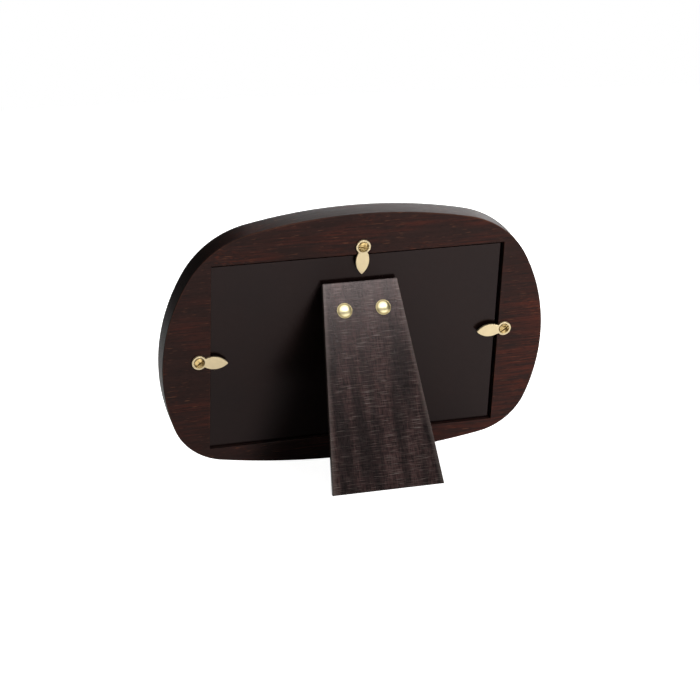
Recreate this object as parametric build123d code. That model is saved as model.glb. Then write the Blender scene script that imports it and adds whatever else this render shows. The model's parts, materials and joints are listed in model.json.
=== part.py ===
from build123d import *
import math
import os

# Oval wooden picture frame that stands on an easel leg, for a landscape print.
#
# Every piece is first drawn with the frame upright: X runs along the frame, Z runs up from the
# middle of the rebate, and Y runs out of the frame's back, which lies at Y = 0. The whole frame
# is then leant back on its leg. Left and right are as seen from behind. Sizes are millimetres
# and angles are degrees.

# Print, glass, card and board
print_width = 152.4
print_height = 101.6
print_clearance = 1.8
card_thickness = 0.4
glass_thickness = 2.0
glass_clearance = 0.6
board_thickness = 3.0
board_clearance = 0.7
board_recess = 2.0
board_shift = 0.5
seat_gap = 0.1

# Outline of the moulding, as borders round the rebate and the radii of its arcs
side_border = 25.0
top_border = 22.4
bottom_border = 13.9
widest_drop = 4.0
top_radius = 270.0
top_corner_radius = 49.0
side_radius = 100.0
bottom_corner_radius = 33.0
bottom_radius = 400.0

# Section of the moulding
frame_depth = 20.0
front_roundover = 9.5
back_ease = 0.6

# Sight opening in the front, an oval inside the rebate
sight_lap_side = 6.0
sight_lap_top = 6.0
sight_lap_bottom = 9.0
sight_flat_radius = 240.0
sight_corner_radius = 30.0
sight_side_radius = 75.0
sight_roundover = 5.0

# Easel leg
lean_angle = 15.0
leg_angle = 37.0
leg_top_width = 40.0
leg_foot_width = 59.0
leg_thickness = 3.0
leg_ease = 0.4
leg_stop_gap = 0.1

# Hinge of the leg
leg_button_gap = 3.85
hinge_width = 30.0
leg_knuckle_width = 12.0
leaf_length = 17.0
leaf_thickness = 0.8
pin_radius = 1.0
pin_clearance = 0.05
knuckle_gap = 0.25

# Rivets of the hinge
rivet_spacing = 20.6
rivet_drop = 9.6
rivet_shank_radius = 1.5
rivet_rim_radius = 4.0
rivet_rim_thickness = 0.5
rivet_dome_radius = 3.6
rivet_dome_height = 1.0
rivet_tail_radius = 2.5
rivet_tail_thickness = 0.5

# Turn buttons
button_reach = 15.2
button_eye_radius = 3.85
button_neck_half_width = 2.3
button_leaf_half_width = 3.5
button_leaf_widest = 7.2
button_thickness = 1.2
button_lift = 0.1
button_ease = 0.2
top_button_margin = 4.4
left_button_margin = 6.0
right_button_margin = 3.1
top_button_shift = 1.0
left_button_rise = -0.5
right_button_rise = 2.4
left_button_dip = 6.0
right_button_dip = 2.0
top_button_turn = 1.5

# Slotted screws that hold the buttons
screw_head_radius = 2.7
screw_head_height = 1.0
screw_dome_height = 0.35
screw_shank_radius = 1.15
screw_grip = 10.0
screw_slot_width = 0.8
screw_slot_depth = 0.6
screw_seat_depth = 0.7
screw_seat_clearance = 0.2
screw_running_clearance = 0.08
screw_seat_gap = 0.1
top_slot_turn = 10.0
left_slot_turn = -38.0
right_slot_turn = -35.0

# Sizes worked out from those above
rebate_width = print_width + 2 * print_clearance
rebate_height = print_height + 2 * print_clearance
rebate_depth = board_recess + board_thickness + card_thickness + glass_thickness
board_back = -board_recess
board_front = board_back - board_thickness
card_front = board_front - card_thickness
frame_bottom = -rebate_height / 2 - bottom_border
knuckle_radius = pin_radius + pin_clearance + leaf_thickness
hinge_out = board_back + knuckle_radius
opened = math.radians(leg_angle)
leant = math.radians(lean_angle)
leg_stop_drop = knuckle_radius * (1 + math.cos(opened)) - leg_stop_gap
leg_overhang = leg_stop_drop / math.sin(opened)

# The top edge of the opened leg stays below the tip of the top button
leg_rear = knuckle_radius + leg_thickness
leg_top_rise = leg_overhang * math.cos(opened) + leg_rear * math.sin(opened)
button_tip_rise = rebate_height / 2 + top_button_margin - button_reach
hinge_rise = button_tip_rise - leg_button_gap - leg_top_rise

# The ground touches the eased back edge at the foot of the frame
ground_normal = Vector(0, -math.sin(leant), math.cos(leant))
ease_centre = Vector(0, -back_ease, frame_bottom + back_ease)
ground_point = ease_centre - ground_normal * back_ease
ground = Plane(origin=ground_point, x_dir=(1, 0, 0), z_dir=ground_normal)

# Places the pieces of the leg, drawn folded round the hinge axis, in the opened leg
opened_leg = Pos(0, hinge_out, hinge_rise) * Rot(leg_angle, 0, 0)


def touching_corner(flat_centre, flat_radius, side_centre, side_radius, radius, upward):
    """Centre of the corner arc that lies inside both neighbouring circles and touches them."""
    flat_reach = flat_radius - radius
    side_reach = side_radius - radius
    across = side_centre - flat_centre
    along = (across.length**2 + flat_reach**2 - side_reach**2) / (2 * across.length)
    height = math.sqrt(flat_reach**2 - along**2)
    direction = across.normalized()
    sideways = Vector(direction.Y, -direction.X) * upward
    return flat_centre + direction * along + sideways * height


def bearing(start, end):
    """Direction from one point to another, in degrees from the X axis."""
    return math.degrees(math.atan2(end.Y - start.Y, end.X - start.X))


def oval_face(half_width, rise, drop, widest, top, top_corner, side, bottom_corner, bottom):
    """Oval of eight tangent arcs, rounder on top than below, standing in the plane Y = 0."""
    top_centre = Vector(0, rise - top)
    side_centre = Vector(half_width - side, widest)
    bottom_centre = Vector(0, bottom - drop)
    upper = touching_corner(top_centre, top, side_centre, side, top_corner, 1)
    lower = touching_corner(bottom_centre, bottom, side_centre, side, bottom_corner, -1)
    top_end = bearing(top_centre, upper)
    upper_end = bearing(side_centre, upper)
    lower_end = bearing(side_centre, lower)
    bottom_end = bearing(bottom_centre, lower)
    right_half = Curve() + [
        CenterArc(top_centre, top, top_end, 90 - top_end),
        CenterArc(upper, top_corner, upper_end, top_end - upper_end),
        CenterArc(side_centre, side, lower_end, upper_end - lower_end),
        CenterArc(lower, bottom_corner, bottom_end, lower_end - bottom_end),
        CenterArc(bottom_centre, bottom, -90, bottom_end + 90),
    ]
    left_half = mirror(right_half, Plane.YZ)
    return Plane.XZ * make_face(right_half + left_half)


def slab(width, height, front, thickness):
    """Upright rectangular plate whose front face lies at Y = front."""
    return Pos(0, front + thickness / 2, 0) * Box(width, thickness, height)


def rod(radius, start, end):
    """Round bar along Y between two depths."""
    return Pos(0, (start + end) / 2, 0) * Rot(-90, 0, 0) * Cylinder(radius, end - start)


def turned(profile):
    """Solid turned round the Y axis from a half section drawn in the XY plane."""
    return revolve(make_face(profile), Axis.Y)


def dome(radius, base, height):
    """Half section of a shallow dome, from its edge up to its crown on the axis."""
    sphere = (radius**2 + height**2) / (2 * height)
    half_way = math.asin(radius / sphere) / 2
    centre = base + height - sphere
    shoulder = (sphere * math.sin(half_way), centre + sphere * math.cos(half_way))
    return ThreePointArc((radius, base), shoulder, (0, base + height))


def hinge_bar(radius, width):
    """Round bar along the hinge axis."""
    return Rot(0, 90, 0) * Cylinder(radius, width)


def seated(pane, clearance):
    """Lowers a pane that has a clearance all round until it rests on the foot of the rebate."""
    return Pos(0, 0, seat_gap - clearance) * pane


def button_places():
    """Screw position of each turn button, the direction of its tip and the turn of its slot."""
    half_width = rebate_width / 2
    top_screw = Pos(-top_button_shift, 0, rebate_height / 2 + top_button_margin)
    left_screw = Pos(half_width + left_button_margin, 0, left_button_rise)
    right_screw = Pos(-half_width - right_button_margin, 0, right_button_rise)
    return {
        "top": (top_screw, -90 + top_button_turn, top_slot_turn),
        "left": (left_screw, 180 + left_button_dip, left_slot_turn),
        "right": (right_screw, -right_button_dip, right_slot_turn),
    }


def rivet_places():
    """Positions of the two rivets of a hinge leaf, seen from the hinge axis."""
    return {
        "left": Pos(rivet_spacing / 2, 0, -rivet_drop),
        "right": Pos(-rivet_spacing / 2, 0, -rivet_drop),
    }


def wood_frame():
    """Oval moulding rolled over at the front, with the sight opening, rebate and pilot holes."""
    half_height = rebate_height / 2
    outline = oval_face(
        rebate_width / 2 + side_border,
        half_height + top_border,
        half_height + bottom_border,
        -widest_drop,
        top_radius,
        top_corner_radius,
        side_radius,
        bottom_corner_radius,
        bottom_radius,
    )
    moulding = extrude(outline, amount=frame_depth)
    moulding = fillet(moulding.faces().sort_by(Axis.Y)[0].edges(), front_roundover)
    moulding = fillet(moulding.faces().sort_by(Axis.Y)[-1].edges(), back_ease)
    sight = oval_face(
        rebate_width / 2 - sight_lap_side,
        half_height - sight_lap_top,
        half_height - sight_lap_bottom,
        (sight_lap_bottom - sight_lap_top) / 2,
        sight_flat_radius,
        sight_corner_radius,
        sight_side_radius,
        sight_corner_radius,
        sight_flat_radius,
    )
    moulding -= extrude(sight, amount=frame_depth)
    front_face = moulding.faces().filter_by(Plane.XZ).sort_by(Axis.Y)[0]
    moulding = fillet(front_face.inner_wires()[0].edges(), sight_roundover)
    moulding -= slab(rebate_width, rebate_height, -rebate_depth, rebate_depth)
    for place, _, _ in button_places().values():
        moulding -= place * rod(screw_shank_radius, -screw_grip, 0)
    return moulding


def glass_pane():
    """Clear pane that lies on the ledge of the rebate."""
    width = rebate_width - 2 * glass_clearance
    height = rebate_height - 2 * glass_clearance
    return seated(slab(width, height, -rebate_depth, glass_thickness), glass_clearance)


def photo_card():
    """Blank card of the print's size behind the glass."""
    return seated(slab(print_width, print_height, card_front, card_thickness), print_clearance)


def backing_board():
    """Board over the card, pushed to the left, drilled for the two rivets of the hinge."""
    width = rebate_width - 2 * board_clearance
    height = rebate_height - 2 * board_clearance
    board = seated(slab(width, height, board_front, board_thickness), board_clearance)
    board = Pos(board_shift, 0, 0) * board
    for place in rivet_places().values():
        board -= Pos(0, 0, hinge_rise) * place * rod(rivet_shank_radius, board_front, board_back)
    return board


def hinge_leaf(knuckles, notches):
    """Leaf lying at Y = minus the knuckle radius, with its barrel round the hinge axis."""
    inner = leaf_thickness - knuckle_radius
    clear = knuckle_radius + knuckle_gap
    leaf = slab(hinge_width, leaf_length, inner - leaf_thickness, leaf_thickness)
    leaf = Pos(0, 0, -leaf_length / 2) * leaf
    for middle, width in notches:
        leaf -= Pos(middle, 0, -clear / 2) * Box(width, 4 * knuckle_radius, clear)
    for middle, width in knuckles:
        leaf += Pos(middle, 0, 0) * hinge_bar(knuckle_radius, width)
    leaf -= hinge_bar(pin_radius + pin_clearance, hinge_width)
    for place in rivet_places().values():
        leaf -= place * rod(rivet_shank_radius, inner - leaf_thickness, inner)
    return leaf


def knuckle_rows():
    """Middle and width of the leg's knuckle and of the board's two knuckles beside it."""
    outer_width = (hinge_width - leg_knuckle_width) / 2 - knuckle_gap
    outer_middle = (hinge_width - outer_width) / 2
    centre_row = [(0, leg_knuckle_width)]
    outer_row = [(-outer_middle, outer_width), (outer_middle, outer_width)]
    return centre_row, outer_row


def widened(row):
    """Notches that clear a row of knuckles by the knuckle gap on both sides."""
    return [(middle, width + 2 * knuckle_gap) for middle, width in row]


def hinge_board_leaf():
    """Leaf on the board, with the two outer knuckles."""
    centre_row, outer_row = knuckle_rows()
    return Pos(0, hinge_out, hinge_rise) * hinge_leaf(outer_row, widened(centre_row))


def hinge_leg_leaf():
    """Leaf on the leg, with the middle knuckle, turned to face the board."""
    centre_row, outer_row = knuckle_rows()
    leaf = mirror(hinge_leaf(centre_row, widened(outer_row)), Plane.XZ)
    return opened_leg * leaf


def hinge_pin():
    """Pin through all the knuckles."""
    return Pos(0, hinge_out, hinge_rise) * hinge_bar(pin_radius, hinge_width)


def easel_leg():
    """Trapezoid leg whose top bears on the board and whose foot is cut to the ground."""
    rear_point = opened_leg * Pos(0, leg_rear, 0)
    above_ground = (rear_point.position - ground_point).dot(ground_normal)
    reach = above_ground / math.cos(opened - leant)
    half_top = leg_top_width / 2
    half_foot = leg_foot_width / 2
    corners = [
        (-half_top, leg_overhang),
        (half_top, leg_overhang),
        (half_foot, -reach),
        (-half_foot, -reach),
    ]
    blank = extrude(Plane.XZ * make_face(Polyline(*corners, close=True)), amount=-leg_thickness)
    blank = Pos(0, knuckle_radius, 0) * blank
    for place in rivet_places().values():
        blank -= place * rod(rivet_shank_radius, knuckle_radius, leg_rear)
    leg = split(opened_leg * blank, bisect_by=ground, keep=Keep.TOP)
    foot = leg.faces().sort_by(Axis.Z)[0]
    straight = leg.edges().filter_by(GeomType.LINE)
    eased = [edge for edge in straight if edge not in foot.edges()]
    return fillet(eased, leg_ease)


def leg_rivet(place):
    """Domed rivet through the leg and its leaf, clenched behind the leaf."""
    tail = knuckle_radius - leaf_thickness
    seat = leg_rear
    rim_top = seat + rivet_rim_thickness
    half_section = Curve() + [
        Line((0, tail - rivet_tail_thickness), (rivet_tail_radius, tail - rivet_tail_thickness)),
        Line((rivet_tail_radius, tail - rivet_tail_thickness), (rivet_tail_radius, tail)),
        Line((rivet_tail_radius, tail), (rivet_shank_radius, tail)),
        Line((rivet_shank_radius, tail), (rivet_shank_radius, seat)),
        Line((rivet_shank_radius, seat), (rivet_rim_radius, seat)),
        Line((rivet_rim_radius, seat), (rivet_rim_radius, rim_top)),
        Line((rivet_rim_radius, rim_top), (rivet_dome_radius, rim_top)),
        dome(rivet_dome_radius, rim_top, rivet_dome_height),
        Line((0, rim_top + rivet_dome_height), (0, tail - rivet_tail_thickness)),
    ]
    return opened_leg * place * turned(half_section)


def board_rivet(place):
    """Rivet with a low head on the board's leaf, set flush with the board's front."""
    head = board_back + leaf_thickness
    rivet = rod(rivet_shank_radius, board_front, head)
    rivet += rod(rivet_tail_radius, head, head + rivet_tail_thickness)
    return Pos(0, 0, hinge_rise) * place * rivet


def turn_button():
    """Leaf-shaped button on the frame's back, its screw seat at the origin and its tip along X."""
    neck = button_eye_radius * math.cos(math.asin(button_neck_half_width / button_eye_radius))
    edge = ThreePointArc(
        (neck, button_neck_half_width),
        (button_leaf_widest, button_leaf_half_width),
        (button_reach, 0),
    )
    root = Line((neck, button_neck_half_width), (neck, -button_neck_half_width))
    leaf = make_face(Curve() + [edge, mirror(edge, Plane.XZ), root])
    blank = extrude(Circle(button_eye_radius) + leaf, amount=button_thickness)
    blank = chamfer(blank.faces().sort_by(Axis.Z)[-1].edges(), button_ease)
    blank -= Cylinder(screw_shank_radius + screw_running_clearance, 4 * button_thickness)
    seat = Cylinder(screw_head_radius + screw_seat_clearance, 2 * screw_seat_depth)
    blank -= Pos(0, 0, button_thickness) * seat
    return Pos(0, button_lift, 0) * Rot(-90, 0, 0) * blank


def turn_screw():
    """Slotted screw whose head sits in the button's seat."""
    head_bottom = button_lift + button_thickness - screw_seat_depth + screw_seat_gap
    head_edge = head_bottom + screw_head_height
    head_top = head_edge + screw_dome_height
    half_section = Curve() + [
        Line((0, -screw_grip), (screw_shank_radius, -screw_grip)),
        Line((screw_shank_radius, -screw_grip), (screw_shank_radius, head_bottom)),
        Line((screw_shank_radius, head_bottom), (screw_head_radius, head_bottom)),
        Line((screw_head_radius, head_bottom), (screw_head_radius, head_edge)),
        dome(screw_head_radius, head_edge, screw_dome_height),
        Line((0, head_top), (0, -screw_grip)),
    ]
    slot_middle = head_top - screw_slot_depth / 2
    slot = Pos(0, slot_middle, 0) * Box(4 * screw_head_radius, screw_slot_depth, screw_slot_width)
    return turned(half_section) - slot


def build_pieces():
    """Every piece by name, drawn with the frame upright."""
    pieces = {
        "wood_frame": wood_frame(),
        "glass_pane": glass_pane(),
        "photo_card": photo_card(),
        "backing_board": backing_board(),
        "hinge_board_leaf": hinge_board_leaf(),
        "hinge_leg_leaf": hinge_leg_leaf(),
        "hinge_pin": hinge_pin(),
        "easel_leg": easel_leg(),
    }
    for side, place in rivet_places().items():
        pieces["leg_rivet_" + side] = leg_rivet(place)
        pieces["board_rivet_" + side] = board_rivet(place)
    for side, (place, tip, slot) in button_places().items():
        pieces["turn_button_" + side] = place * Rot(0, -tip, 0) * turn_button()
        pieces["turn_screw_" + side] = place * Rot(0, -slot, 0) * turn_screw()
    return pieces


def main():
    """Lean the frame on its leg, centre it on the ground and write one file per piece."""
    pieces = build_pieces()
    leaning = Rot(-lean_angle, 0, 0)
    box = (leaning * Compound(list(pieces.values()))).bounding_box()
    standing = Pos(-box.center().X, -box.center().Y, -box.min.Z) * leaning
    os.makedirs("parts", exist_ok=True)
    for name, piece in pieces.items():
        solid = standing * piece
        solid.label = name
        export_step(solid, os.path.join("parts", name + ".step"))
    print("overall", box.size)
    print("hinge axis", (standing * Pos(0, hinge_out, hinge_rise)).position)
    print("foot", (standing * pieces["easel_leg"]).faces().sort_by(Axis.Z)[0].center())
    for side, (place, _, _) in button_places().items():
        print("button", side, (standing * place).position)


main()
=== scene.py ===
import json
import math
from functools import partial

import bmesh
import bpy
from mathutils import Euler, Matrix, Vector
from mathutils.geometry import intersect_sphere_sphere_2d


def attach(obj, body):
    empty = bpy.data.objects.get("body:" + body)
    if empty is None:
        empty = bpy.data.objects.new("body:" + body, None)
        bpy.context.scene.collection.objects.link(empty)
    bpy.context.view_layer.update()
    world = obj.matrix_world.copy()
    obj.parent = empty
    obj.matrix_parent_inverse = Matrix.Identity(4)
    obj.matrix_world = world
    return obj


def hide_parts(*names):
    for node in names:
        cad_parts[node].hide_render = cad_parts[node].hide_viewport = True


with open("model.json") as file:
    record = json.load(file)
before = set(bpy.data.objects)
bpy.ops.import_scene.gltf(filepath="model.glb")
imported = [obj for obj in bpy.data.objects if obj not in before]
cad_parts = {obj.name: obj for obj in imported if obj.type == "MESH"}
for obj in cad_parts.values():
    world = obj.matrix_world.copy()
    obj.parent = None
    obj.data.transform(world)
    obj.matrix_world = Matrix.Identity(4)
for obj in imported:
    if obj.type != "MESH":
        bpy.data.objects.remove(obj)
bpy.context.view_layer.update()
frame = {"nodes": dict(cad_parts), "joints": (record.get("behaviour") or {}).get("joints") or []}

bl_info = {
    "name": "Oval Picture Frame",
    "version": (1, 0, 0),
    "blender": (4, 5, 0),
    "location": "View3D > Sidebar > Oval Frame",
    "description": "Finishes an oval table frame with its easel leg and brass turn buttons",
    "category": "Object",
}

mm = 0.001

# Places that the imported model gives. The back of the frame faces +Y and leans over the leg.
joints = {joint["name"]: joint for joint in frame["joints"]}
lean = math.asin(-Vector(joints["button_top_turn"]["axis"]).z)
leg_opening = math.radians(joints["leg_fold"]["range_deg"][1])
hinge_place = Vector(joints["leg_fold"]["pos_m"])
frame_up = Vector((0, math.sin(lean), math.cos(lean)))
top_screw_rise = 57.0 * mm
rebate_centre = Vector(joints["button_top_turn"]["pos_m"]) - frame_up * top_screw_rise
rebate_centre.x = 0
back_turn = (-lean, 0, 0)
leg_turn = (leg_opening - lean, 0, 0)

# Drawings are made as seen from behind: X to the right, Y up and Z out of the back
as_seen = Matrix(((-1, 0, 0, 0), (0, 0, 1, 0), (0, 1, 0, 0), (0, 0, 0, 1)))
back_plane = Matrix.Translation(rebate_centre) @ Matrix.Rotation(-lean, 4, "X") @ as_seen
leg_plane = Matrix.Translation(hinge_place) @ Matrix.Rotation(leg_opening - lean, 4, "X") @ as_seen

# Rebate, and the moulding round it as borders and radii of arcs
rebate_width = 156.0 * mm
rebate_height = 105.2 * mm
rebate_depth = 7.4 * mm
side_border = 25.0 * mm
top_border = 22.4 * mm
bottom_border = 13.9 * mm
widest_drop = 4.0 * mm
outside_arcs = {
    "top": 270.0 * mm, "top_corner": 49.0 * mm, "side": 100.0 * mm,
    "bottom_corner": 33.0 * mm, "bottom": 400.0 * mm}

# Sight opening, as laps over the rebate and radii of arcs
sight_lap_side = 6.0 * mm
sight_lap_top = 6.0 * mm
sight_lap_bottom = 9.0 * mm
sight_arcs = {
    "top": 240.0 * mm, "top_corner": 30.0 * mm, "side": 75.0 * mm,
    "bottom_corner": 30.0 * mm, "bottom": 240.0 * mm}

# Glass, board, leg and hinge
pane_thickness = 2.0 * mm
pane_ease = 0.2 * mm
pane_inset = 0.03 * mm
board_recess = 2.0 * mm
board_thickness = 3.0 * mm
leaf_thickness = 0.8 * mm
leg_underside = 1.85 * mm
leg_rear = 4.85 * mm
leg_half_width = 20.44 * mm
leg_flare = 0.0877

# Rivets of the hinge
rivet_spacing = 20.6 * mm
rivet_drop = 9.6 * mm
rivet_shank = 1.5 * mm
rivet_tail = 2.5 * mm
rivet_tail_height = 0.5 * mm
rivet_rim = 4.0 * mm
rivet_rim_height = 0.5 * mm
rivet_dome_radius = 3.6 * mm
rivet_crease = 3.5 * mm
rivet_edge = 0.18 * mm

# Turn buttons: an eye round the screw, a neck and a leaf
button_lift = 0.1 * mm
button_thickness = 1.2 * mm
eye_radius = 3.85 * mm
neck_half_width = 2.3 * mm
leaf_widest = Vector((7.2 * mm, 3.5 * mm))
leaf_tip = Vector((15.2 * mm, 0))
seat_radius = 2.9 * mm
seat_floor = 0.5 * mm
seat_edge = 0.04 * mm
button_bore = 1.23 * mm

# Screws of the turn buttons
screw_shank = 1.15 * mm
screw_point = 0.3 * mm
screw_grip = 10.0 * mm
screw_taper = 2.0 * mm
screw_seat = 0.7 * mm
screw_head = 2.7 * mm
screw_head_height = 1.0 * mm
screw_crown = 0.35 * mm
screw_edge = 0.15 * mm
slot_depth = 0.9 * mm
slot_length = 8.0 * mm

# Direction of each turn button's tip and the turn of its screw's slot, as drawn
button_turns = {"top": (-91.5, 170.0), "left": (-6.0, 38.0), "right": (182.0, 35.0)}

# Length of one step along a drawn outline, and the flat strips that end the rounded edges
outline_step = 2.0 * mm
flat_strip = 0.4 * mm
narrow_strip = 0.05 * mm
axis_point = Vector((0, 0))

# Points this near are one, rings this near are level, and an edge that turns more is sharp
weld_distance = 0.002 * mm
level_tolerance = 0.01 * mm
sharp_turn = math.radians(32)


def linear_colour(text):
    """Linear colour, with full opacity, of an sRGB hex value."""
    channels = [int(text[i:i + 2], 16) / 255 for i in (1, 3, 5)]
    linear = [c / 12.92 if c <= 0.04045 else ((c + 0.055) / 1.055) ** 2.4 for c in channels]
    return (*linear, 1.0)


def length(name, description, default, low, high):
    """Property for a length, from millimetres."""
    return bpy.props.FloatProperty(
        name=name, description=description, default=default * mm, min=low * mm, max=high * mm,
        precision=5, unit="LENGTH")


def tint(name, description, default):
    """Property for a colour, from an sRGB hex value."""
    return bpy.props.FloatVectorProperty(
        name=name, description=description, default=linear_colour(default), size=4,
        min=0.0, max=1.0, subtype="COLOR")


class OVALFRAME_PG_sizes(bpy.types.PropertyGroup):
    """Sizes of the edges and fittings"""

    frame_depth: length(
        "Frame depth", "Thickness of the moulding from front to back", 20.0, 16.0, 40.0)
    front_roundover: length(
        "Front roundover", "Radius that rolls the moulding over at the front", 9.5, 1.0, 12.0)
    sight_roundover: length(
        "Sight roundover", "Radius of the edge round the sight opening", 5.0, 0.5, 8.0)
    back_ease: length("Back ease", "Radius of the moulding's back edge", 0.6, 0.2, 2.0)
    rebate_ease: length("Rebate ease", "Radius of the edge round the rebate", 0.3, 0.1, 1.0)
    board_ease: length("Board ease", "Radius of the backing board's edges", 0.3, 0.1, 1.0)
    leg_ease: length(
        "Leg ease", "Radius of the edges that the leg's paper is wrapped round", 0.7, 0.1, 1.2)
    button_edge: length(
        "Button edge", "Radius of the tumbled edge of a turn button", 0.25, 0.05, 0.5)
    rivet_dome: length(
        "Rivet dome", "Height of the domed rivet heads above their rims", 1.0, 0.5, 3.0)
    slot_width: length("Slot width", "Width of the slot in each screw head", 0.8, 0.4, 1.2)


class OVALFRAME_PG_colours(bpy.types.PropertyGroup):
    """Colours of the finishes"""

    stain: tint("Wood stain", "Stain on the plain parts of the wood", "#261613")
    heartwood: tint("Heartwood", "Red wood that shows where the stain is thin", "#4b241c")
    board: tint("Board", "Sealed face of the backing board", "#0f0706")
    linen: tint("Linen paper", "Ground of the paper on the easel leg", "#2e201f")
    # The slub colour is also laid along the leg's edges as a painted highlight
    slub: tint("Slubs", "Thick threads that are rubbed pale on the linen paper", "#756a65")
    brass: tint("Pale brass", "Stamped brass of the turn buttons", "#c6b592")
    rivet_brass: tint("Rivet brass", "Polished brass of the rivets", "#eadcae")
    screw_brass: tint("Screw brass", "Dulled brass of the screws", "#cdb27a")


def find_socket(sockets, key):
    """Socket with that identifier, or else with that name."""
    for socket in sockets:
        if socket.identifier == key:
            return socket
    return sockets[key]


def add_node(tree, kind, inputs=None, output=None, **settings):
    """Adds a node, feeds its inputs with values, hex colours or sockets and returns one output."""
    node = tree.nodes.new(kind)
    for name, value in settings.items():
        setattr(node, name, value)
    for key, value in (inputs or {}).items():
        socket = find_socket(node.inputs, key)
        if isinstance(value, str) and value.startswith("#"):
            value = linear_colour(value)
        if not isinstance(value, (list, bpy.types.NodeSocket)):
            socket.default_value = value
            continue
        for source in value if isinstance(value, list) else [value]:
            tree.links.new(source, socket)
    if output:
        return find_socket(node.outputs, output)
    return node.outputs[0] if node.outputs else None


def touching_corner(flat_centre, flat_radius, side_centre, side_radius, radius):
    """Centre of the arc at the right that lies inside both neighbouring circles and touches them."""
    meetings = intersect_sphere_sphere_2d(
        flat_centre, flat_radius - radius, side_centre, side_radius - radius)
    return max(meetings, key=lambda meeting: meeting.x)


def bearing(start, end):
    """Direction from one point to another, as an angle from the X axis."""
    return math.atan2(end.y - start.y, end.x - start.x)


def arc_points(centre, radius, start, end, count=None):
    """Points along an arc, without its last one."""
    count = count or max(3, math.ceil(radius * abs(end - start) / outline_step))
    angles = [start + (end - start) * i / count for i in range(count)]
    return [(centre.x + radius * math.cos(a), centre.y + radius * math.sin(a)) for a in angles]


def oval_outline(half_width, rise, drop, widest, top, top_corner, side, bottom_corner, bottom):
    """Points round an oval of eight tangent arcs, from its foot up its right side and round."""
    top_centre = Vector((0, rise - top))
    side_centre = Vector((half_width - side, widest))
    bottom_centre = Vector((0, bottom - drop))
    upper = touching_corner(top_centre, top, side_centre, side, top_corner)
    lower = touching_corner(bottom_centre, bottom, side_centre, side, bottom_corner)
    top_end = bearing(top_centre, upper)
    upper_end = bearing(side_centre, upper)
    lower_end = bearing(side_centre, lower)
    bottom_end = bearing(bottom_centre, lower)
    right_half = [
        *arc_points(bottom_centre, bottom, -math.pi / 2, bottom_end),
        *arc_points(lower, bottom_corner, bottom_end, lower_end),
        *arc_points(side_centre, side, lower_end, upper_end),
        *arc_points(upper, top_corner, upper_end, top_end),
        *arc_points(top_centre, top, top_end, math.pi / 2),
        (0, rise),
    ]
    left_half = [(-x, y) for x, y in reversed(right_half[1:-1])]
    return right_half + left_half


def leaf_outline():
    """Points round a turn button: an eye at the origin and a leaf with its tip along X."""
    neck_angle = math.asin(neck_half_width / eye_radius)
    neck = Vector((eye_radius * math.cos(neck_angle), neck_half_width))
    # Centre of the circle through the tip, the widest point and the neck
    first = leaf_widest - leaf_tip
    second = neck - leaf_tip
    area = 2 * (first.x * second.y - first.y * second.x)
    across = (second.y * first.length_squared - first.y * second.length_squared) / area
    along = (first.x * second.length_squared - second.x * first.length_squared) / area
    centre = leaf_tip + Vector((across, along))
    radius = (leaf_tip - centre).length
    upper = arc_points(centre, radius, bearing(centre, leaf_tip), bearing(centre, neck), count=20)
    eye = arc_points(axis_point, eye_radius, neck_angle, 2 * math.pi - neck_angle, count=40)
    lower = [(x, -y) for x, y in reversed(upper[1:])]
    return [*upper, *eye, (neck.x, -neck.y), *lower]


def dome_section(radius, base, height, count):
    """Half section of a shallow dome, from its edge up to its crown on the axis."""
    sphere = (radius**2 + height**2) / (2 * height)
    centre = Vector((0, base + height - sphere))
    start = math.acos(radius / sphere)
    return [*arc_points(centre, sphere, start, math.pi / 2, count), (0, base + height)]


def turned_lines(section, segments):
    """Loop and section that turn a half section round the Z axis."""
    radius = max(across for across, _ in section)
    loop = arc_points(axis_point, radius, 0, 2 * math.pi, segments)
    return (loop, "ring"), ([(across - radius, along) for across, along in section], "open")


def new_object(name, data):
    """Object that shows some data in the scene."""
    item = bpy.data.objects.new(name, data)
    bpy.context.scene.collection.objects.link(item)
    return item


def drawn(name, *lines, turns=None):
    """Mesh object of numbered lines: each is a list of points and "ring", "open" or "loose"."""
    points, edges, numbers = [], [], []
    for number, (line, kind) in enumerate(lines):
        first = len(points)
        points += [(x, y, 0) for x, y in line]
        numbers += [number] * len(line)
        if kind != "loose":
            edges += [(i, i + 1) for i in range(first, len(points) - 1)]
        if kind == "ring":
            edges.append((len(points) - 1, first))
    mesh = bpy.data.meshes.new(name)
    mesh.from_pydata(points, edges, [])
    mesh.attributes.new("line", "INT", "POINT").data.foreach_set("value", numbers)
    if turns:
        unturned = [0.0] * (len(points) - len(turns))
        mesh.attributes.new("turn", "FLOAT", "POINT").data.foreach_set("value", unturned + turns)
    return new_object(name, mesh)


def new_tree(name, *sizes):
    """Geometry tree with a drawing, named sizes, round steps and a material as its inputs."""
    tree = bpy.data.node_groups.new(name, "GeometryNodeTree")
    kinds = {
        "Drawing": "Geometry", **dict.fromkeys(sizes, "Float"), "Round steps": "Int",
        "Material": "Material"}
    for label, kind in kinds.items():
        tree.interface.new_socket(label, in_out="INPUT", socket_type="NodeSocket" + kind)
    tree.interface.new_socket("Piece", in_out="OUTPUT", socket_type="NodeSocketGeometry")
    return tree, partial(add_node, tree), tree.nodes.new("NodeGroupInput").outputs


def on_line(add, number):
    """Choice of the points that belong to one numbered line of the drawing."""
    line = add("GeometryNodeInputNamedAttribute", {"Name": "line"})
    return add("FunctionNodeCompare", {"A": line, "B": number}, operation="EQUAL")


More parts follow.
